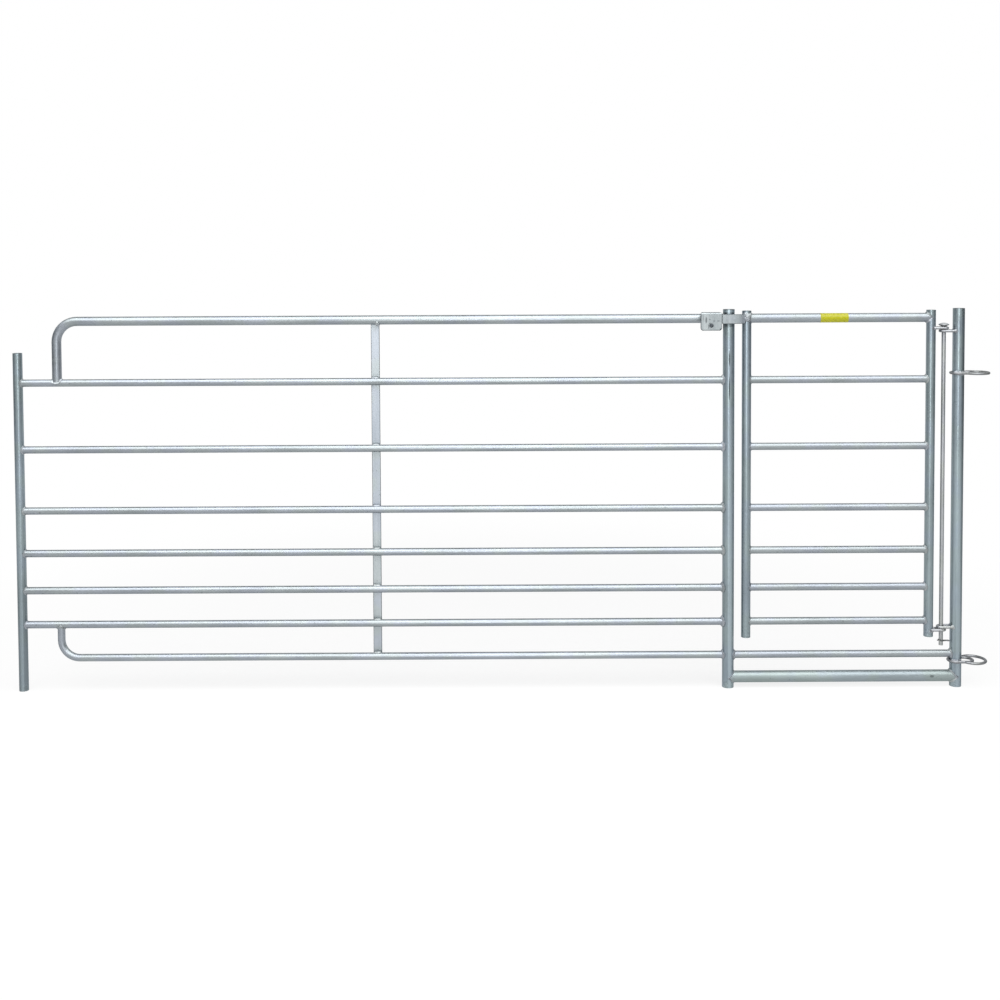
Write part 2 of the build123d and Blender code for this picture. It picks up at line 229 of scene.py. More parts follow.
class ZincFinish(bpy.types.PropertyGroup):
    """Colours and gloss of the hot-dip galvanised steel."""

    rail_dull: colour("Rail, dull", "Dull zinc on the rails", (0.232, 0.257, 0.275))
    rail_bright: colour("Rail, bright", "Bright zinc on the rails", (0.347, 0.376, 0.398))
    post_dull: colour("Post, dull", "Dull zinc on posts and stiles", (0.19, 0.228, 0.247))
    post_bright: colour("Post, bright", "Bright zinc on posts and stiles", (0.295, 0.353, 0.38))
    bar_dull: colour("Bar, dull", "Dull zinc on rods, rings and eyes", (0.165, 0.172, 0.175))
    bar_bright: colour("Bar, bright", "Bright zinc on rods, rings and eyes", (0.29, 0.298, 0.3))
    sill_dull: colour("Sill, dull", "Dull zinc on the sill tube", (0.212, 0.248, 0.254))
    sill_bright: colour("Sill, bright", "Bright zinc on the sill tube", (0.318, 0.365, 0.372))
    plate_dull: colour("Plate, dull", "Dull zinc on bars and plates", (0.285, 0.32, 0.345))
    plate_bright: colour("Plate, bright", "Bright zinc on bars and plates", (0.445, 0.48, 0.505))
    weld_dull: colour("Weld, dull", "Dull zinc in a weld's hollows", (0.23, 0.25, 0.265))
    weld_bright: colour("Weld, bright", "Bright zinc on a weld's crests", (0.43, 0.455, 0.47))
    edge: colour("Grazing tint", "Tint of the metal seen at a low angle", (0.55, 0.57, 0.6))
    cool: colour("Cool cast", "Hue where the zinc looks bluish", (0.99, 0.99, 1.03))
    warm: colour("Green cast", "Hue where the zinc looks greenish", (1.00, 1.01, 0.98))
    # Painted shade: how far the rounded edges of plates and flat bars are darkened
    rim: share("Rims", "How far the rolled edges of plates and flat bars are darkened", 0.85)
    metallic: share("Metal", "Share of the surface that mirrors as bare metal", 0.85)
    roughness: share("Roughness", "Mean roughness of the zinc", 0.38)
    spangle: length("Spangle", "Width of one zinc crystal", 0.009)


class WeldSizes(bpy.types.PropertyGroup):
    """Sizes of the weld beads."""

    tube: length("Tube weld", "Leg of the weld round a tube end", 0.0034)
    bar: length("Bar weld", "Leg of the weld round a bar end", 0.003)
    strap: length("Strap weld", "Radius of the bead between strap and rail", 0.007)
    tongue: length("Tongue weld", "How far the weld stands off the latch stile", 0.0024)
    ring: length("Ring weld", "Radius of the beads that hold a coupling ring", 0.0026)
    flatten: share("Flatten", "How far a weld's face is flattened between its two legs", 0.28)
    lump: share("Lumps", "How far the lumps stand out, as a share of the bead", 0.32)
    ripple: length("Ripple", "Distance between two ripples of a bead", 0.0042)


class PlateSizes(bpy.types.PropertyGroup):
    """Sizes of the flat bars, the saddle and its bolt."""

    edge: length("Rolled edge", "Radius of the rounded edges of a flat bar", 0.0015)
    end_edge: length("End edge", "Radius of the edges between tongue and saddle", 0.0005)
    tongue_thickness: length("Tongue", "Thickness of the latch tongue", 0.005)
    tongue_clearance: length("Tongue set", "Distance from the post to the tongue's set", 0.005)
    saddle_thickness: length("Saddle plate", "Thickness of the folded plate", 0.004)
    saddle_fold: length("Saddle fold", "Outer radius of the two folds", 0.005)
    saddle_corner: length("Saddle corner", "Radius of the lower corners", 0.008)
    saddle_taper: length("Saddle taper", "How much narrower the back leaf is at its left", 0.011)
    # The band gets painted shade
    outline: length("Saddle outline", "Width of the darker band inside the saddle's edge", 0.0014)
    bolt: length("Bolt", "Diameter of the bolt", 0.006)
    pitch: length("Thread pitch", "Distance between two threads", 0.001)
    chamfer: length("Chamfer", "Chamfer on the corners of head and nut", 0.0008)


class StudioSettings(bpy.types.PropertyGroup):
    """Camera, floor and lamps."""

    camera: FloatVectorProperty(
        name="Camera",
        description="Place of the camera",
        default=(-0.6738, -3.4961, 1.246),
        size=3,
        unit="LENGTH",
    )
    yaw: rotation("Yaw", "Turn of the camera to the left", -0.105)
    pitch: rotation("Pitch", "Dip of the camera", 2.24)
    roll: rotation("Roll", "Tilt of the camera", -0.267)
    lens: FloatProperty(
        name="Lens", description="Focal length in millimetres", default=43.2, min=1, unit="CAMERA"
    )
    shift: FloatProperty(name="Shift", description="Upright shift of the lens", default=-0.1879)
    floor: colour("Floor", "Colour of the floor", (0.9, 0.9, 0.9))
    wash: share("Wash", "How far the shadow on the floor is lightened for the camera", 0.82)
    room: share("Room light", "Light from all round that falls on dull surfaces", 0.15)
    overhead: glow("Overhead", "Brightness of the overhead softbox", 2.5)
    front: glow("Front", "Brightness of the strip by the camera", 7.2)
    flag_left: colour("Left flag", "Shade of the panel at the left", (0.31, 0.32, 0.34))
    flag_right: colour("Right flag", "Shade of the panel at the right", (0.2, 0.21, 0.22))
    ceiling: colour("Ceiling", "Shade of the panel above and behind", (0.5, 0.5, 0.5))


class Wire:
    """What leaves a node. Arithmetic on it adds Math nodes to its material."""

    def __init__(self, recipe, socket):
        self.recipe = recipe
        self.socket = socket

    def math(self, operation, other):
        """Add a Math node that works on this and another value."""
        return self.recipe.node("ShaderNodeMath", {"operation": operation}, {0: self, 1: other})

    def __add__(self, other):
        return self.math("ADD", other)

    def __sub__(self, other):
        return self.math("SUBTRACT", other)

    def __mul__(self, other):
        return self.math("MULTIPLY", other)

    def maximum(self, other):
        """The larger of two values."""
        return self.math("MAXIMUM", other)

    __radd__ = __add__
    __rmul__ = __mul__


class Recipe:
    """Node tree of one material or of the world."""

    def __init__(self, tree):
        self.tree = tree
        tree.nodes.clear()

    def node(self, kind, settings=None, values=None, out=0):
        """Add a node, set it up, fill its sockets and return one of its outputs."""
        made = self.tree.nodes.new(kind)
        for name, setting in (settings or {}).items():
            setattr(made, name, setting)
        for key, value in (values or {}).items():
            socket = made.inputs[key]
            if isinstance(value, Wire):
                self.tree.links.new(value.socket, socket)
            elif socket.type == "RGBA":
                socket.default_value = (*value[:3], 1)
            else:
                socket.default_value = value
        return Wire(self, made.outputs[out])

    def vector(self, operation, first, second=None, out=0):
        """Add a Vector Math node for one or two vectors."""
        values = {0: first} if second is None else {0: first, 1: second}
        return self.node("ShaderNodeVectorMath", {"operation": operation}, values, out)

    def place(self, stretch=(1, 1, 1)):
        """Place on the object, in metres, each axis scaled."""
        place = self.node("ShaderNodeTexCoord", out="Object")
        return self.vector("MULTIPLY", place, stretch)

    def grain(self, scale, stretch=(1, 1, 1), detail=2.0, rough=0.5):
        """Soft noise from 0 to 1, so many lumps to the metre."""
        place = self.place(stretch)
        values = {"Vector": place, "Scale": scale, "Detail": detail, "Roughness": rough}
        return self.node("ShaderNodeTexNoise", values=values, out="Fac")

    def crystals(self, width):
        """Flat random shade for each zinc crystal, from 0 to 1."""
        values = {"Vector": self.place(), "Scale": 0.6 / width, "Detail": 1.0}
        wander = self.node("ShaderNodeTexNoise", values=values, out="Color")
        values = {0: wander, "Scale": width * 0.8}
        drift = self.node("ShaderNodeVectorMath", {"operation": "SCALE"}, values)
        values = {"Vector": self.vector("ADD", self.place(), drift), "Scale": 1 / width}
        cells = self.node("ShaderNodeTexVoronoi", values=values, out="Color")
        return self.node("ShaderNodeSeparateColor", values={"Color": cells})

    def ramp(self, value, low, high, from_shade=0.0, to_shade=1.0):
        """Smooth step from one shade to another as value goes from low to high."""
        values = {"Value": value, "From Min": low, "From Max": high}
        values |= {"To Min": from_shade, "To Max": to_shade}
        return self.node("ShaderNodeMapRange", {"interpolation_type": "SMOOTHSTEP"}, values)

    def blend(self, factor, first, second, mode="MIX"):
        """Mix of two colours, or their product where the mode is MULTIPLY."""
        settings = {"data_type": "RGBA", "blend_type": mode}
        return self.node("ShaderNodeMix", settings, {"Factor": factor, 6: first, 7: second}, out=2)

    def spot(self, centre, reach):
        """1 in the middle of an ellipsoid and 0 outside it. Reach is its three half axes."""
        away = self.vector("SUBTRACT", self.place(), centre)
        away = self.vector("DIVIDE", away, reach)
        return self.ramp(self.vector("LENGTH", away, out="Value"), 0.5, 1.0, 1.0, 0.0)

    def bumps(self, height, depth):
        """Normals of a relief of the given depth in metres."""
        values = {"Height": height, "Distance": depth, "Strength": 1.0}
        return self.node("ShaderNodeBump", values=values)

    def surface(self, **values):
        """Principled shader on the surface. A space in a socket's name is an underscore here."""
        named = {name.replace("_", " "): value for name, value in values.items()}
        self.finish(self.node("ShaderNodeBsdfPrincipled", values=named))

    def finish(self, shader, kind="ShaderNodeOutputMaterial"):
        """Send a shader to the output."""
        self.tree.links.new(shader.socket, self.tree.nodes.new(kind).inputs["Surface"])


def new_recipe(name):
    """A new material and the recipe that fills it."""
    material = bpy.data.materials.new(name)
    material.use_nodes = True
    return material, Recipe(material.node_tree)


def zinc(finish):
    """The zinc of one of the FINISHES, made once."""
    name = f"{finish}_zinc"
    return bpy.data.materials.get(name) or galvanise(name, **FINISHES[finish])


def galvanise(name, kind, tone=1.0, run=2, contrast=1.0, rougher=0.0, foot=0.0, spots=()):
    """Make hot-dip galvanised steel.

    Run is the axis along which the zinc drained: 0, 1 or 2. Contrast scales how far its clouds
    show. Below the height of the foot the zinc is thick and rough. Spots are patches: some
    marks, some painted shade and painted highlights.
    """
    look = bpy.context.scene.zinc_finish
    dull = tuple(tone * part for part in getattr(look, f"{kind}_dull"))
    bright = tuple(tone * part for part in getattr(look, f"{kind}_bright"))
    dark = tuple(STAIN_AND_EDGE_SHADE * part for part in dull)
    material, recipe = new_recipe(name)
    along = tuple(RUN_STRETCH if axis == run else 1.0 for axis in range(3))
    crystals = recipe.crystals(look.spangle)
    runs = recipe.grain(GRAIN["runs"], stretch=along, detail=4.0, rough=0.6)
    clouds = recipe.grain(GRAIN["clouds"], detail=3.0)
    pores = recipe.grain(GRAIN["pores"], detail=2.0)
    pits = recipe.ramp(recipe.grain(GRAIN["pits"], detail=1.0), 0.72, 0.80)
    drawn = tuple(0.4 * part for part in along)
    streaks = recipe.ramp(recipe.grain(GRAIN["streaks"], stretch=drawn, detail=1.0), 0.70, 0.80)
    height = recipe.node("ShaderNodeSeparateXYZ", values={"Vector": recipe.place()}, out="Z")
    low = recipe.ramp(height, foot - 0.012, foot + 0.018, 1.0, 0.0)
    crust = low * (recipe.grain(CRUST_GRAIN, detail=2.0) - 0.5)
    cloudy = (
        IN_SHADE["crystals"] * (crystals - 0.5)
        + IN_SHADE["runs"] * (runs - 0.5)
        + IN_SHADE["clouds"] * (clouds - 0.5)
    )
    shade = 0.5 + contrast * cloudy + IN_SHADE["crust"] * crust
    body = recipe.blend(recipe.ramp(shade, 0.0, 1.0), dull, bright)
    drift = recipe.ramp(recipe.grain(HUE_GRAIN, detail=1.0), 0.42, 0.58)
    body = recipe.blend(1.0, body, recipe.blend(drift, look.cool, look.warm), "MULTIPLY")
    body = recipe.blend((PIT_COVER * pits).maximum(STREAK_COVER * streaks), body, dark)
    # Spots lay marks, painted shade and painted highlights over the zinc
    for centre, reach, cover, against in spots:
        patch = tuple(against * part for part in dull)
        body = recipe.blend(cover * recipe.spot(centre, reach), body, patch)
    # Painted shade on rounded edges and on the saddle's bands, marked on the mesh
    painted_shade = recipe.node("ShaderNodeAttribute", {"attribute_name": "rim"}, out="Fac")
    gloss = (
        look.roughness
        + rougher
        + IN_GLOSS["clouds"] * (clouds - 0.5)
        + IN_GLOSS["crystals"] * (crystals - 0.5)
        + IN_GLOSS["runs"] * (runs - 0.5)
    )
    relief = (
        IN_RELIEF["runs"] * runs
        + IN_RELIEF["pores"] * pores
        + IN_RELIEF["crystals"] * crystals
        + IN_RELIEF["crust"] * crust
    )
    recipe.surface(
        Base_Color=recipe.blend(look.rim * painted_shade, body, dark),
        Metallic=look.metallic,
        Roughness=gloss,
        Specular_Tint=look.edge,
        Normal=recipe.bumps(relief, RELIEF_DEPTH),
    )
    return material


def fastener_zinc():
    """Very dark zinc plate on the bolt and the nut, with darker patches."""
    material, recipe = new_recipe("bolt_zinc")
    stain = recipe.grain(260, detail=3.0)
    stained, clean = (0.030, 0.036, 0.044), (0.090, 0.100, 0.112)
    recipe.surface(
        Base_Color=recipe.blend(recipe.ramp(stain, 0.35, 0.7), stained, clean),
        Metallic=0.8,
        Roughness=0.32 + 0.25 * stain,
        Normal=recipe.bumps(recipe.grain(900), 0.0001),
    )
    return material


def yellow_film():
    """Plain film, a little dusty and creased."""
    material, recipe = new_recipe("yellow_film")
    deep, bright, dusty = (0.31, 0.31, 0.003), (0.37, 0.36, 0.005), (0.48, 0.46, 0.14)
    dust = recipe.ramp(recipe.grain(90, detail=4.0), 0.52, 0.75)
    fresh = recipe.blend(recipe.grain(25, detail=2.0), deep, bright)
    creases = recipe.grain(60, stretch=(0.3, 1, 1), detail=2.0)
    recipe.surface(
        Base_Color=recipe.blend(0.14 * dust, fresh, dusty),
        Roughness=0.24 + 0.2 * dust,
        Specular_IOR_Level=0.3,
        Coat_Weight=0.1,
        Coat_Roughness=0.15,
        Normal=recipe.bumps(creases, 0.00025),
    )
    return material


def dress(nodes, material):
    """Give a finish to CAD nodes."""
    for name in nodes:
        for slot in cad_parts[name].material_slots:
            slot.material = material


def new_object(name, mesh, material):
    """Turn a bmesh into an object of the scene and free it."""
    data = bpy.data.meshes.new(name)
    mesh.to_mesh(data)
    mesh.free()
    data.materials.append(material)
    made = bpy.data.objects.new(name, data)
    bpy.context.scene.collection.objects.link(made)
    return made


def add_piece(name, body, mesh, material, crease=radians(40), flat=False):
    """Turn a bmesh into a piece that rides on a body. Edges sharper than crease stay sharp."""
    bmesh.ops.recalc_face_normals(mesh, faces=mesh.faces)
    for edge in mesh.edges:
        edge.smooth = edge.calc_face_angle(0) < crease
    for face in mesh.faces:
        face.smooth = True
    piece = new_object(name, mesh, material)
    if flat:
        piece.modifiers.new("flat_faces", "WEIGHTED_NORMAL").keep_sharp = True
    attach(piece, body)
    return piece


def middle(node):
    """Middle of a node's box."""
    low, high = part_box(node)
    return (low + high) / 2


def half_depth(node):
    """Half of a node's size across the hurdle: the radius of a tube."""
    low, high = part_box(node)
    return (high.y - low.y) / 2


def join(mesh, part):
    """Add a part to a bmesh and free it."""
    data = bpy.data.meshes.new("part")
    part.to_mesh(data)
    part.free()
    mesh.from_mesh(data)
    bpy.data.meshes.remove(data)


def lumpiness(place, along, sizes, seed):
    """Factor on the bead's section: ripples of the weld pool and random lumps."""
    ripple = RIPPLE_DEPTH * cos(tau * along / sizes.ripple)
    coarse = noise.noise(place * COARSE_LUMPS + Vector((seed, 0, 0)))
    fine = noise.noise(place * FINE_LUMPS + Vector((0, seed, 0)))
    return 1 + ripple + sizes.lump * (COARSE_SHARE * coarse + FINE_SHARE * fine)


def revolve(mesh, geometry, axis, steps):
    """Turn a section about an axis into a closed surface."""
    bmesh.ops.spin(mesh, geom=geometry, axis=axis, angle=tau, steps=steps, use_merge=True)
    bmesh.ops.remove_doubles(mesh, verts=mesh.verts[:], dist=MERGE)


def ring_bead(matrix, branch, carrier, bead, sizes, seed, offset=0.0):
    """Weld round a tube or bar end.

    The branch leaves a round carrier (along Z) in the direction of X, offset from it along Y.
    """
    mesh = bmesh.new()
    step = 0.002
    steps = max(20, round(tau * branch / step))
    size = bead * (1 + 0.18 * sin(12.9 * seed))
    section = Matrix.Translation((0, 0, branch)) @ Matrix.Rotation(pi / 2, 4, "X")
    made = bmesh.ops.create_circle(mesh, segments=12, radius=size, matrix=section)
    revolve(mesh, made["verts"] + mesh.edges[:], X_AXIS, steps)
    for vert in mesh.verts:
        angle = atan2(vert.co.y, vert.co.z)
        outward = Vector((0, sin(angle), cos(angle)))
        middle_line = branch * outward
        away = vert.co - middle_line
        bulge = 1 - 2 * sizes.flatten * abs(away.x * away.dot(outward)) / away.length_squared
        reach = sqrt(max(carrier**2 - (offset + middle_line.y) ** 2, 0))
        factor = bulge * lumpiness(middle_line, angle * branch, sizes, seed)
        vert.co = middle_line + away * factor + Vector((reach, offset, 0))
    bmesh.ops.transform(mesh, matrix=matrix, verts=mesh.verts[:])
    return mesh


def run_bead(route, bead, sizes, seed, calm=1.0):
    """Weld along a route, which is a function from -1 to 1 that gives a place.

    The bead fades out at both ends. Calm scales its lumps.
    """
    mesh = bmesh.new()
    step = 0.0016
    ahead_by = 0.02
    span = (route(1) - route(-1)).length
    bmesh.ops.create_uvsphere(mesh, u_segments=8, v_segments=max(10, round(span / step)), radius=1)
    for vert in mesh.verts:
        spread = Vector((vert.co.x, vert.co.y))
        tip = spread.length < 1e-5
        u = copysign(1, vert.co.z) if tip else 2 / pi * atan2(vert.co.z, spread.length)
        spot = route(u)
        ahead = (route(min(u + ahead_by, 1)) - route(max(u - ahead_by, -1))).normalized()
        side = ahead.cross(Z_AXIS if abs(ahead.z) < 0.9 else X_AXIS).normalized()
        up = side.cross(ahead)
        direction = Vector((0, 0)) if tip else spread.normalized()
        lumps = 1 + calm * (lumpiness(spot, u * span / 2, sizes, seed) - 1)
        factor = lumps * bead * sqrt(max(1 - u**4, 0.0))
        vert.co = spot + (side * direction.x + up * direction.y) * factor
    return mesh


def lump_mass(places, bead, seed):
    """Weld laid in many drops, one at each place."""
    mesh = bmesh.new()
    uneven = 0.25
    for number, place in enumerate(places):
        size = bead * (1 + uneven * sin(5.3 * number + seed))
        for vert in bmesh.ops.create_icosphere(mesh, subdivisions=2, radius=1)["verts"]:
            bulge = 1 + uneven * noise.noise(1.3 * vert.co + Vector((number, seed, 0)))
            vert.co = Vector(place) + size * bulge * vert.co
    return mesh


def post_joint(carrier, height, toward):
    """Frame at a joint on an upright: X points along the branch, Z up."""
    spot = Vector((middle(carrier).x, 0, height))
    turn = Matrix.Identity(4) if toward > 0 else Matrix.Rotation(pi, 4, "Z")
    return Matrix.Translation(spot) @ turn


def rail_joint(x, height, toward):
    """Frame at a joint of a leg on a rail: X points up or down the leg, Z along the rail."""
    turn = Matrix.Rotation(-pi / 2 if toward > 0 else pi / 2, 4, "Y")
    return Matrix.Translation((x, 0, height)) @ turn


def block(low, high):
    """Box between two corners."""
    mesh = bmesh.new()
    size = high - low
    matrix = Matrix.Translation((low + high) / 2) @ Matrix.Diagonal((*size, 1))
    bmesh.ops.create_cube(mesh, size=1, matrix=matrix)
    return mesh


def is_along(edge, axis):
    """Whether an edge runs along an axis."""
    direction = (edge.verts[1].co - edge.verts[0].co).normalized()
    return abs(direction.dot(axis)) > 0.999


def bevel(mesh, edges, radius, segments, rim=False):
    """Round edges off. A rim is marked, so that painted shade darkens its material there."""
    made = bmesh.ops.bevel(mesh, geom=edges, offset=radius, segments=segments, **ROUND_EDGES)
    if rim:
        paint_edge_shade(mesh, made["faces"], 1.0)


def paint_edge_shade(mesh, faces, painted_shade):
    """Note on each corner of the faces how far painted shade darkens it."""
    layer = mesh.loops.layers.float.get("rim") or mesh.loops.layers.float.new("rim")
    for face in faces:
        for loop in face.loops:
            loop[layer] = painted_shade


def sharp_edges(mesh):
    """Edges at which the surface turns by more than SHARP."""
    return [edge for edge in mesh.edges if edge.calc_face_angle(0) > SHARP]


def moved_points(grown):
    """The new points of what an extrude operator made."""
    return [item for item in grown["geom"] if isinstance(item, bmesh.types.BMVert)]


class Builder(bpy.types.Operator):
    """Shared parts of the operators."""

    bl_options = {"REGISTER", "UNDO"}

    def execute(self, context):
        self.build(context.scene)
        return {"FINISHED"}


class HURDLE_OT_finish_tubes(Builder):
    """Give the tubes their zinc"""

    bl_idname = "hurdle.finish_tubes"
    bl_label = "Tubes"

    def build(self, scene):
        dress(POSTS, zinc("post"))
        dress(STILES, zinc("stile"))
        dress(PANEL_TUBES, zinc("rail"))
        dress(GATE_TUBES, zinc("gate"))
        dress(["sill_tube"], zinc("sill"))


class HURDLE_OT_finish_bars(Builder):
    """Give the rod, clip, eyes and rings their zinc"""

    bl_idname = "hurdle.finish_bars"
    bl_label = "Bars"

    def build(self, scene):
        dress(RINGS, zinc("bar"))
        dress(["hinge_rod", *POST_EYES, *GATE_EYES], zinc("rod"))
        dress(["hinge_clip"], zinc("clip"))


class HURDLE_OT_finish_label(Builder):
    """Give the label its film"""

    bl_idname = "hurdle.finish_label"
    bl_label = "Label"

    def build(self, scene):
        dress(["label"], yellow_film())


class HURDLE_OT_tube_welds(Builder):
    """Weld every tube end to the upright or rail that carries it"""

    bl_idname = "hurdle.tube_welds"
    bl_label = "Tube welds"

    def build(self, scene):
        for name in PANEL_RAILS:
            posts = [("left_post", 1, LEFT_POST_BEAD), ("middle_post", -1, MIDDLE_POST_BEAD)]
            self.weld(scene, name, "hurdle", self.ends(name, posts))
        for name in [*GATE_RAILS, "gate_top_rail"]:
            stiles = [("gate_latch_stile", 1, STILE_BEAD), ("gate_hinge_stile", -1, STILE_BEAD)]
            self.weld(scene, name, "gate", self.ends(name, stiles))
        for name, factor in SILL_BEADS.items():
            posts = [("middle_post", 1, factor), ("right_post", -1, factor)]
            self.weld(scene, name, "hurdle", self.ends(name, posts))
        self.weld_bent_rail(scene, "top_rail", PANEL_RAILS[0], 1, TOP_RAIL_BEAD)
        self.weld_bent_rail(scene, "bottom_rail", PANEL_RAILS[-1], -1, MIDDLE_POST_BEAD)

    def ends(self, name, uprights):
        """The joints of a level tube between two uprights."""
        radius = half_depth(name)
        height = middle(name).z
        return [
            (post_joint(upright, height, toward), radius, half_depth(upright), factor)
            for upright, toward, factor in uprights
        ]

    def weld_bent_rail(self, scene, name, carrier, toward, factor):
        """Weld a rail whose left end is bent up or down onto a panel rail."""
        low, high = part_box(name)
        radius = half_depth(name)
        height = high.z - radius if toward > 0 else low.z + radius
        at_post = post_joint("middle_post", height, -1)
        at_rail = rail_joint(low.x + radius, middle(carrier).z, toward)
        joints = [
            (at_post, radius, half_depth("middle_post"), factor),
            (at_rail, radius, half_depth(carrier), LEG_BEAD),
        ]
        self.weld(scene, name, "hurdle", joints)

    def weld(self, scene, name, body, joints):
        """One piece with the welds of one tube.

        A joint is its frame, the radii of branch and carrier and a factor on the bead.
        """
        sizes = scene.weld_sizes
        mesh = bmesh.new()
        for number, (matrix, branch, carrier, factor) in enumerate(joints):
            seed = 10.0 * number + sum(map(ord, name)) % 97
            join(mesh, ring_bead(matrix, branch, carrier, factor * sizes.tube, sizes, seed))
        add_piece(f"weld_{name}", body, mesh, zinc("weld"))


class HURDLE_OT_strap_welds(Builder):
    """Weld the strap to the back of each rail"""

    bl_idname = "hurdle.strap_welds"
    bl_label = "Strap welds"

    def build(self, scene):
        sizes = scene.weld_sizes
        low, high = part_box("brace_strap")
        centre = (low.x + high.x) / 2
        width = high.x - low.x
        mesh = bmesh.new()
        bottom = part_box("bottom_rail")[0].z + half_depth("bottom_rail")
        crossings = [
            (middle(name).z, half_depth(name), side) for side in (1, -1) for name in PANEL_RAILS
        ]
        crossings.append((bottom, half_depth("bottom_rail"), 1))
        for seed, (height, radius, side) in enumerate(crossings):
            back, thickness = STRAP_WELD_ABOVE if side > 0 else STRAP_WELD_BELOW
            z = height + side * (radius - STRAP_WELD_SINK * sizes.strap)
            y = low.y - back * sizes.strap

            def route(u, z=z, y=y):
                return Vector((centre + u * width * 0.5, y, z))

            join(mesh, run_bead(route, sizes.strap * thickness, sizes, seed, calm=0.3))
        drops = self.drops_below_top_rail(high.x)
        join(mesh, lump_mass(drops, 0.5 * sizes.strap, 0.3))
        add_piece("weld_brace_strap", "hurdle", mesh, zinc("fillet"))

    def drops_below_top_rail(self, right):
        """Places of the drops that run down the front of the top rail to the strap's end."""
        count = 9
        radius = half_depth("top_rail")
        under = radius + 0.001
        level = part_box("top_rail")[1].z - radius
        places = []
        for number in range(count):
            angle = 0.5 + 1.2 * number / (count - 1)
            x = right - 0.004 - 0.003 * sin(2.1 * number)
            places.append((x, -under * cos(angle), level - under * sin(angle)))
        return places


class HURDLE_OT_eye_welds(Builder):
    """Weld the hinge eyes to the stile and the right post"""

    bl_idname = "hurdle.eye_welds"
    bl_label = "Hinge eye welds"

    def build(self, scene):
        eyes = [(name, "gate_hinge_stile", "gate", 1) for name in GATE_EYES]
        eyes += [(name, "right_post", "hurdle", -1) for name in POST_EYES]
        sizes = scene.weld_sizes
        for seed, (name, carrier, body, toward) in enumerate(eyes):
            low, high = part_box(name)
            bar = (high.z - low.z) / 2
            matrix = post_joint(carrier, middle(name).z, toward)
            radius = half_depth(carrier)
            mesh = bmesh.new()
            for side in (-1, 1):
                across = side * ((high.y - low.y) / 2 - bar)
                chance = seed * 7.0 + side
                join(mesh, ring_bead(matrix, bar, radius, sizes.bar, sizes, chance, across))
            add_piece(f"weld_{name}", body, mesh, zinc("weld"))


class HURDLE_OT_ring_welds(Builder):
    """Weld the coupling rings to the right post"""

    bl_idname = "hurdle.ring_welds"
    bl_label = "Ring welds"

    def build(self, scene):
        sizes = scene.weld_sizes
        post = middle("right_post").x
        radius = half_depth("right_post")
        half_arc = 0.75
        first_drop, drop_step, drop_lift = -2.35, 0.22, 0.003
        for name in RINGS:
            height = middle(name).z
            low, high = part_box(name)
            bar = (high.z - low.z) / 2
            mesh = bmesh.new()
            for seed, (facing, level) in enumerate(((-1, 1), (-1, -1), (1, 1), (1, -1))):

                def route(u, facing=facing, level=level):
                    angle = facing * pi / 2 + u * half_arc
                    reach = radius + 0.5 * sizes.ring
                    z = height + level * bar
                    return Vector((post + reach * cos(angle), reach * sin(angle), z))

                join(mesh, run_bead(route, sizes.ring, sizes, seed * 5.0))
            reach = radius + drop_lift
            for number in range(4):
                angle = first_drop + drop_step * number
                drop = (post + reach * cos(angle), reach * sin(angle), height + 0.004)
                join(mesh, lump_mass([drop], 1.3 * sizes.ring, number))
            add_piece(f"weld_{name}", "hurdle", mesh, zinc("weld"))


class HURDLE_OT_strap(Builder):
    """Build the flat brace with its rolled edges"""

    bl_idname = "hurdle.strap"
    bl_label = "Brace strap"

    def build(self, scene):
        low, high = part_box("brace_strap")
        mesh = block(low, high)
        upright = [edge for edge in mesh.edges if is_along(edge, Z_AXIS)]
        # The rounded edges get painted shade
        bevel(mesh, upright, scene.plate_sizes.edge, 3, rim=True)
        self.bend(mesh, low.z, high.z)
        finish = zinc("strap")
        strap = add_piece("brace_flat_bar", "hurdle", mesh, finish, SOFT_EDGE, flat=True)
        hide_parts("brace_strap")

    def bend(self, mesh, foot, top):
        """Cut the bar across and shift the cuts a little, because no flat bar is quite straight."""
        spans = 40
        for number in range(1, spans):
            cut = (0, 0, foot + (top - foot) * number / spans)
            geometry = mesh.verts[:] + mesh.edges[:] + mesh.faces[:]
            bmesh.ops.bisect_plane(mesh, geom=geometry, plane_co=cut, plane_no=Z_AXIS)
        for vert in mesh.verts:
            vert.co.x += 0.0005 * noise.noise(Vector((0, 0, vert.co.z * 7)))


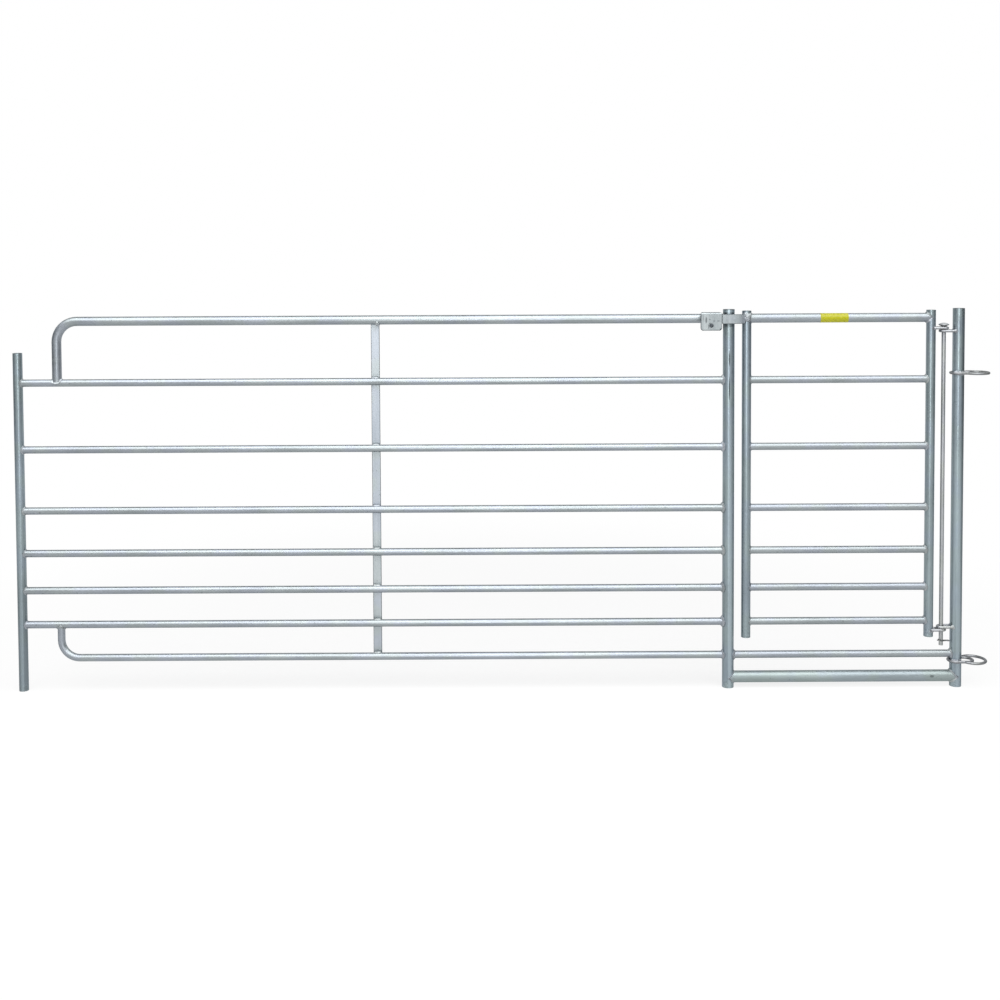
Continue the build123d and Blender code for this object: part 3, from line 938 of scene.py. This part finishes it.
class HURDLE_OT_tongue(Builder):
    """Build the set flat bar on the gate, and weld it to its stile"""

    bl_idname = "hurdle.tongue"
    bl_label = "Latch tongue"

    def build(self, scene):
        low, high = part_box("latch_tongue")
        stile = middle("gate_latch_stile").x
        radius = half_depth("gate_latch_stile")
        mesh = self.set_bar(scene.plate_sizes, low, high, stile, radius)
        finish = zinc("tongue")
        tongue = add_piece("latch_flat_bar", "gate", mesh, finish, SOFT_EDGE, flat=True)
        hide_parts("latch_tongue")
        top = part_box("gate_latch_stile")[1].z
        weld = self.weld_mass(stile, radius, low.z, top, scene.weld_sizes.tongue)
        add_piece("weld_latch_tongue", "gate", weld, zinc("weld"))

    def set_bar(self, sizes, low, high, stile, radius):
        """Flat bar that is set back from the post's front to the stile's side."""
        front = low.y
        back = high.y - sizes.tongue_thickness
        sunk_end = stile - TONGUE_END * radius
        stations = [
            (low.x, front, low.z),
            (half_depth("middle_post") + sizes.tongue_clearance, front, low.z),
            (stile - radius, back, low.z),
            (sunk_end, back, low.z),
        ]
        mesh = bmesh.new()
        line = [mesh.verts.new(station) for station in stations]
        for pair in zip(line, line[1:]):
            mesh.edges.new(pair)
        tops = moved_points(bmesh.ops.extrude_edge_only(mesh, edges=mesh.edges[:]))
        bmesh.ops.translate(mesh, verts=tops, vec=(0, 0, high.z - low.z))
        backs = moved_points(bmesh.ops.extrude_face_region(mesh, geom=mesh.faces[:]))
        bmesh.ops.translate(mesh, verts=backs, vec=(0, sizes.tongue_thickness, 0))
        ends = [edge for edge in sharp_edges(mesh) if is_along(edge, Z_AXIS)]
        bevel(mesh, ends, sizes.end_edge, 2)
        # The rounded edges get painted shade
        bevel(mesh, sharp_edges(mesh), sizes.edge, 3, rim=True)
        return mesh

    def weld_mass(self, stile, radius, foot, top, bead):
        """One lumpy mass of weld over the front of the stile's top."""
        mesh = bmesh.new()
        reach = radius + bead
        half_height = (top - foot) / 2
        centre = Vector((stile, -bead, (foot + top) / 2))
        bmesh.ops.create_uvsphere(mesh, u_segments=48, v_segments=32, radius=1)
        for vert in mesh.verts:
            coarse = 0.14 * noise.noise(4.0 * vert.co)
            fine = 0.12 * noise.noise(9.0 * vert.co + X_AXIS)
            spot = Vector((reach * vert.co.x, reach * vert.co.y, half_height * vert.co.z))
            vert.co = (1 + coarse + fine) * spot + centre
        return mesh


class HURDLE_OT_saddle(Builder):
    """Fold the latch saddle from plate"""

    bl_idname = "hurdle.saddle"
    bl_label = "Latch saddle"

    def build(self, scene):
        sizes = scene.plate_sizes
        low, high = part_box("latch_saddle")
        mesh = self.folded_sheet(sizes, low, high)
        bmesh.ops.solidify(mesh, geom=mesh.faces[:], thickness=sizes.saddle_thickness)
        right = [
            edge
            for edge in sharp_edges(mesh)
            if min(vert.co.x for vert in edge.verts) > high.x - 1e-4
        ]
        bevel(mesh, [edge for edge in right if is_along(edge, Z_AXIS)], sizes.end_edge, 2)
        # The rounded edges get painted shade
        bevel(mesh, sharp_edges(mesh), sizes.edge, 3, rim=True)
        self.paint_saddle_shade(mesh, sizes, high.x)
        finish = zinc("latch")
        saddle = add_piece("saddle_plate", "latch", mesh, finish, SOFT_EDGE, flat=True)
        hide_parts("latch_saddle")

    def folded_sheet(self, sizes, low, high):
        """Outer face of the saddle: two leaves and a top, open below and at both sides."""
        mesh = block(low, high)
        folds = [
            edge
            for edge in mesh.edges
            if is_along(edge, X_AXIS) and edge.verts[0].co.z > high.z - MERGE
        ]
        bevel(mesh, folds, sizes.saddle_fold, 6)
        opened = [face for face in mesh.faces if abs(face.normal.x) > 0.9 or face.normal.z < -0.9]
        bmesh.ops.delete(mesh, geom=opened, context="FACES_KEEP_BOUNDARY")
        corners = [vert for vert in mesh.verts if vert.co.z < low.z + MERGE]
        rounding = {**ROUND_EDGES, "affect": "VERTICES"}
        bmesh.ops.bevel(mesh, geom=corners, offset=sizes.saddle_corner, segments=6, **rounding)
        for vert in mesh.verts:
            back = (vert.co.y - low.y) / (high.y - low.y)
            left = high.x - vert.co.x
            vert.co.x += sizes.saddle_taper * back * left / (high.x - low.x)
        return mesh

    def paint_saddle_shade(self, mesh, sizes, right):
        """Paint shade on a band inside the front's outline, on the folds and on the right end."""
        front = [face for face in mesh.faces if face.normal.y < -0.99]
        inset = {"thickness": sizes.outline, "use_even_offset": True}
        paint_edge_shade(mesh, bmesh.ops.inset_region(mesh, faces=front, **inset)["faces"], OUTLINE_SHADE)
        folds = [face for face in mesh.faces if 0.2 < abs(face.normal.z) < 0.98]
        paint_edge_shade(mesh, [face for face in folds if not face.normal.x], FOLD_SHADE)
        end = [face for face in mesh.faces if face.calc_center_median().x > right - END_BAND]
        paint_edge_shade(mesh, end, END_SHADE)


def hexagon_block(matrix, width, thickness, chamfer):
    """Six-sided head or nut along Z from 0 to thickness, its outer corners chamfered."""
    mesh = bmesh.new()
    corner = width / 2 / cos(pi / 6)
    prism = {"segments": 6, "radius1": corner, "radius2": corner, "depth": thickness}
    upper = Matrix.Translation((0, 0, thickness / 2))
    bmesh.ops.create_cone(mesh, cap_ends=True, matrix=upper, **prism)
    rims = [edge for edge in mesh.edges if not is_along(edge, Z_AXIS)]
    bevel(mesh, rims, chamfer, 2)
    bmesh.ops.transform(mesh, matrix=matrix, verts=mesh.verts[:])
    return mesh


def threaded_stud(matrix, radius, reach, pitch):
    """Round bar along Z with threads."""
    mesh = bmesh.new()
    root = radius - pitch * THREAD_DEPTH
    turns = round(reach / pitch)
    stations = [(0, 0), (root, 0)]
    for number in range(turns):
        stations += [(radius, (number + 0.5) * pitch), (root, (number + 1) * pitch)]
    stations.append((0, turns * pitch))
    line = [mesh.verts.new((x, 0, z)) for x, z in stations]
    edges = [mesh.edges.new(pair) for pair in zip(line, line[1:])]
    revolve(mesh, line + edges, Z_AXIS, 24)
    bmesh.ops.transform(mesh, matrix=matrix, verts=mesh.verts[:])
    return mesh


class HURDLE_OT_bolt(Builder):
    """Build the bolt and nut under the rail"""

    bl_idname = "hurdle.bolt"
    bl_label = "Latch bolt and nut"

    def build(self, scene):
        sizes = scene.plate_sizes
        finish = fastener_zinc()
        low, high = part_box("latch_bolt")
        nut_low, nut_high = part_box("latch_nut")
        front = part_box("latch_saddle")[0].y
        spot = middle("latch_nut")
        flats = min(nut_high.z - nut_low.z, nut_high.x - nut_low.x)
        toward_back = Matrix.Rotation(-pi / 2, 4, "X")
        toward_front = Matrix.Rotation(pi / 2, 4, "X")
        face = Matrix.Translation((spot.x, front, spot.z))
        mesh = hexagon_block(face @ toward_front, flats, front - low.y, sizes.chamfer)
        join(mesh, threaded_stud(face @ toward_back, sizes.bolt / 2, high.y - front, sizes.pitch))
        bolt = add_piece("bolt", "latch", mesh, finish, FACET_EDGE)
        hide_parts("latch_bolt")
        back_face = Matrix.Translation((spot.x, nut_low.y, spot.z)) @ toward_back
        mesh = hexagon_block(back_face, flats, nut_high.y - nut_low.y, sizes.chamfer)
        nut = add_piece("nut", "latch", mesh, finish, FACET_EDGE)
        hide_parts("latch_nut")


def add_lamp(name, place, turn, size, brightness):
    """Soft rectangular lamp of a given brightness, where 1 lights a mirror to white."""
    lamp = bpy.data.lights.new(name, "AREA")
    lamp.shape = "RECTANGLE"
    lamp.size, lamp.size_y = size
    lamp.energy = LAMP_WATTS * brightness * size[0] * size[1]
    lit = bpy.data.objects.new(name, lamp)
    lit.location = place
    lit.rotation_euler = turn
    lit.visible_camera = False
    bpy.context.scene.collection.objects.link(lit)


def seen_directly(recipe):
    """1 for the camera, for reflections and through glass, and 0 for light on dull surfaces."""
    names = ["Is Camera Ray", "Is Glossy Ray", "Is Transmission Ray"]
    camera, glossy, through = [recipe.node("ShaderNodeLightPath", out=name) for name in names]
    return camera.maximum(glossy).maximum(through)


class HURDLE_OT_studio(Builder):
    """Set up the camera, the pale floor and the lamps"""

    bl_idname = "hurdle.studio"
    bl_label = "Studio"

    def build(self, scene):
        setup = scene.studio
        scene.view_settings.view_transform = "Standard"
        self.add_camera(scene, setup)
        self.light_room(scene, setup)
        self.lay_floor(setup)
        self.stand_flags(setup)
        for name, (setting, place, turn, size) in LAMPS.items():
            add_lamp(name, place, turn, size, getattr(setup, setting))

    def add_camera(self, scene, setup):
        lens = bpy.data.cameras.new("camera")
        lens.lens = setup.lens
        lens.sensor_width = 36
        lens.shift_y = setup.shift
        camera = bpy.data.objects.new("camera", lens)
        scene.collection.objects.link(camera)
        level = Matrix.Rotation(setup.yaw, 4, "Z") @ Matrix.Rotation(pi / 2 - setup.pitch, 4, "X")
        stand = Matrix.Translation(setup.camera) @ level
        camera.matrix_world = stand @ Matrix.Rotation(setup.roll, 4, "Z")
        scene.camera = camera

    def light_room(self, scene, setup):
        world = bpy.data.worlds.new("room")
        world.use_nodes = True
        scene.world = world
        recipe = Recipe(world.node_tree)
        dim, white = [
            recipe.node("ShaderNodeBackground", values={"Color": WHITE, "Strength": strength})
            for strength in (setup.room, 1.0)
        ]
        sides = {0: seen_directly(recipe), 1: dim, 2: white}
        mixed = recipe.node("ShaderNodeMixShader", values=sides)
        recipe.finish(mixed, "ShaderNodeOutputWorld")

    def lay_floor(self, setup):
        material, recipe = new_recipe("studio_floor")
        place = recipe.node("ShaderNodeTexCoord", out="Object")
        away = recipe.vector("SUBTRACT", place, FLOOR_MIDDLE)
        away = recipe.vector("LENGTH", away, out="Value")
        fade = recipe.ramp(away, *FLOOR_FADE, setup.wash, 1.0)
        paper = recipe.node("ShaderNodeBsdfDiffuse", values={"Color": setup.floor})
        white = recipe.node("ShaderNodeEmission", values={"Color": WHITE, "Strength": 1.0})
        sides = {0: seen_directly(recipe) * fade, 1: paper, 2: white}
        recipe.finish(recipe.node("ShaderNodeMixShader", values=sides))
        mesh = bmesh.new()
        bmesh.ops.create_grid(mesh, x_segments=4, y_segments=4, size=FLOOR_REACH)
        self.add_stage("studio_floor", mesh, material)

    def stand_flags(self, setup):
        """Grey panels at both sides and a ceiling behind, seen only in the metal."""
        for name, (place, turn, size) in PANELS.items():
            material, recipe = new_recipe(name)
            shade = {"Color": getattr(setup, name), "Strength": 1.0}
            recipe.finish(recipe.node("ShaderNodeEmission", values=shade))
            mesh = bmesh.new()
            matrix = Matrix.LocRotScale(Vector(place), Euler(turn), Vector((*size, 1)))
            bmesh.ops.create_grid(mesh, x_segments=2, y_segments=2, size=1, matrix=matrix)
            flag = self.add_stage(name, mesh, material)
            flag.visible_camera = False
            flag.visible_diffuse = False
            flag.visible_shadow = False

    def add_stage(self, name, mesh, material):
        stage = new_object(name, mesh, material)
        return stage


GROUPS = {
    "zinc_finish": ZincFinish,
    "weld_sizes": WeldSizes,
    "plate_sizes": PlateSizes,
    "studio": StudioSettings,
}
OPERATORS = [
    HURDLE_OT_finish_tubes,
    HURDLE_OT_finish_bars,
    HURDLE_OT_finish_label,
    HURDLE_OT_tube_welds,
    HURDLE_OT_strap,
    HURDLE_OT_strap_welds,
    HURDLE_OT_eye_welds,
    HURDLE_OT_ring_welds,
    HURDLE_OT_tongue,
    HURDLE_OT_saddle,
    HURDLE_OT_bolt,
    HURDLE_OT_studio,
]


class HURDLE_PT_panel(bpy.types.Panel):
    """Sizes, finishes and the steps that build the hurdle's looks"""

    bl_label = "Hurdle with gate"
    bl_space_type = "VIEW_3D"
    bl_region_type = "UI"
    bl_category = "Hurdle"

    def draw(self, context):
        for operator in OPERATORS:
            self.layout.operator(operator.bl_idname)
        for group, kind in GROUPS.items():
            box = self.layout.box()
            for name in kind.__annotations__:
                box.prop(getattr(context.scene, group), name)


def register():
    for kind in [*GROUPS.values(), *OPERATORS, HURDLE_PT_panel]:
        bpy.utils.register_class(kind)
    for group, kind in GROUPS.items():
        setattr(bpy.types.Scene, group, PointerProperty(type=kind))


def unregister():
    for group in GROUPS:
        delattr(bpy.types.Scene, group)
    for kind in reversed([*GROUPS.values(), *OPERATORS, HURDLE_PT_panel]):
        bpy.utils.unregister_class(kind)


def main():
    register()
    for operator in OPERATORS:
        family, step = operator.bl_idname.split(".")
        getattr(getattr(bpy.ops, family), step)()


if __name__ == "__main__":
    main()
